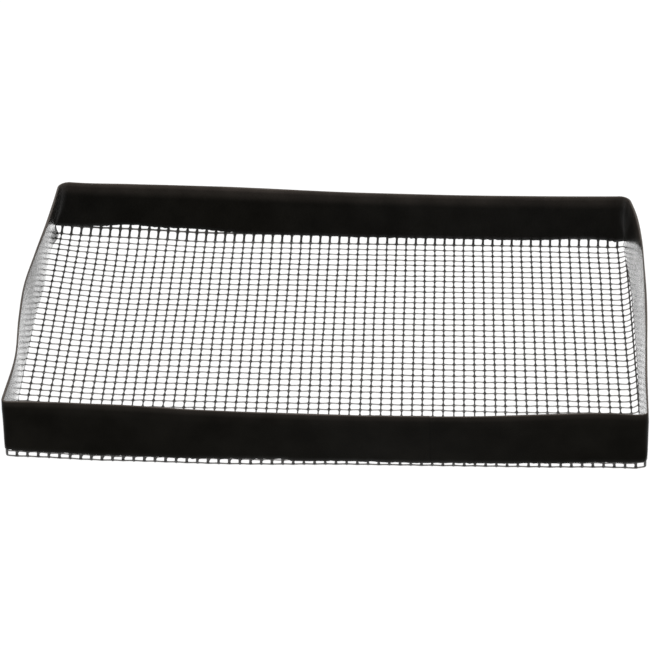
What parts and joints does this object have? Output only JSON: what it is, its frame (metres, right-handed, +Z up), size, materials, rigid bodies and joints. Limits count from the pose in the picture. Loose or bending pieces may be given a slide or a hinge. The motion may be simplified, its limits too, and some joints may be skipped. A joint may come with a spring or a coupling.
{
  "type": "open mesh tray",
  "caption": "Shallow rectangular tray of coated open-weave mesh, its low folded-up walls bound by a coated cloth strip folded over the rim.",
  "frame": {"origin": "middle of the tray's footprint, on the surface that the mesh floor rests on", "axes": "+X along the long side, +Y from the front wall (the one with the strip's lapped end) to the back wall, +Z up out of the tray"},
  "size_m": [0.3018, 0.1976, 0.0319],
  "materials": {
    "mesh_coating": "open-weave glass-fibre mesh with a black non-stick polymer coating, satin, fused at the crossings",
    "strip_coating": "closely woven glass cloth with a black non-stick polymer coating, smooth satin"
  },
  "bodies": {
    "root": {"mesh_floor": "mesh_coating", "mesh_flap_front": "mesh_coating", "mesh_flap_right": "mesh_coating", "mesh_flap_back": "mesh_coating", "mesh_flap_left": "mesh_coating", "mesh_corner_front_left": "mesh_coating", "mesh_corner_front_right": "mesh_coating", "mesh_corner_back_right": "mesh_coating", "mesh_corner_back_left": "mesh_coating", "strip_left": "strip_coating", "strip_back": "strip_coating", "strip_right": "strip_coating", "strip_front_start": "strip_coating", "strip_front_end": "strip_coating", "strip_lapped_end": "strip_coating", "strip_corner_front_left": "strip_coating", "strip_corner_front_right": "strip_coating", "strip_corner_back_right": "strip_coating", "strip_corner_back_left": "strip_coating"}
  },
  "joints": []
}
